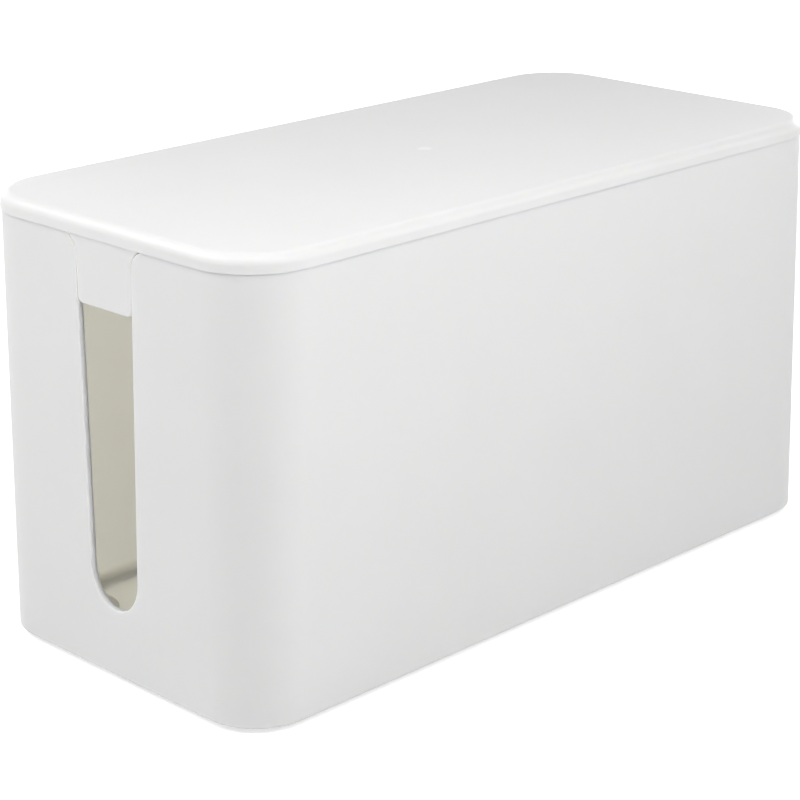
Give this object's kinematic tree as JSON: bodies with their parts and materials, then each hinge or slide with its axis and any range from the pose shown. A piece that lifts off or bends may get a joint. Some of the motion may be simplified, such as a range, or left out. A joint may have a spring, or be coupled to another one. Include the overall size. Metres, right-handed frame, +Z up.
{
  "type": "cable management box",
  "caption": "Closed white cable box with rounded corners, a cable slot in each end, a lift-off lid with tabs that close the slot tops, and round rubber feet.",
  "frame": {"origin": "centre of the footprint, on the plane the feet stand on", "axes": "+X along the length towards the right end, +Y across the width towards the back, +Z up"},
  "size_m": [0.235, 0.115, 0.1212],
  "materials": {
    "tub_plastic": "satin white, slightly translucent",
    "lid_plastic": "satin white, slightly translucent",
    "foot_rubber": "matt grey rubber",
    "adhesive_film": "acrylic adhesive film"
  },
  "bodies": {
    "body": {"tub": "tub_plastic", "foot_front_left": "foot_rubber", "foot_front_right": "foot_rubber", "foot_back_left": "foot_rubber", "foot_back_right": "foot_rubber", "adhesive_front_left": "adhesive_film", "adhesive_front_right": "adhesive_film", "adhesive_back_left": "adhesive_film", "adhesive_back_right": "adhesive_film"},
    "lid": {"lid": "lid_plastic"}
  },
  "joints": [
    {"name": "lid_lift", "type": "slide", "parent": "body", "child": "lid", "axis": [0, 0, 1], "range_m": [0, 0.12]}
  ]
}
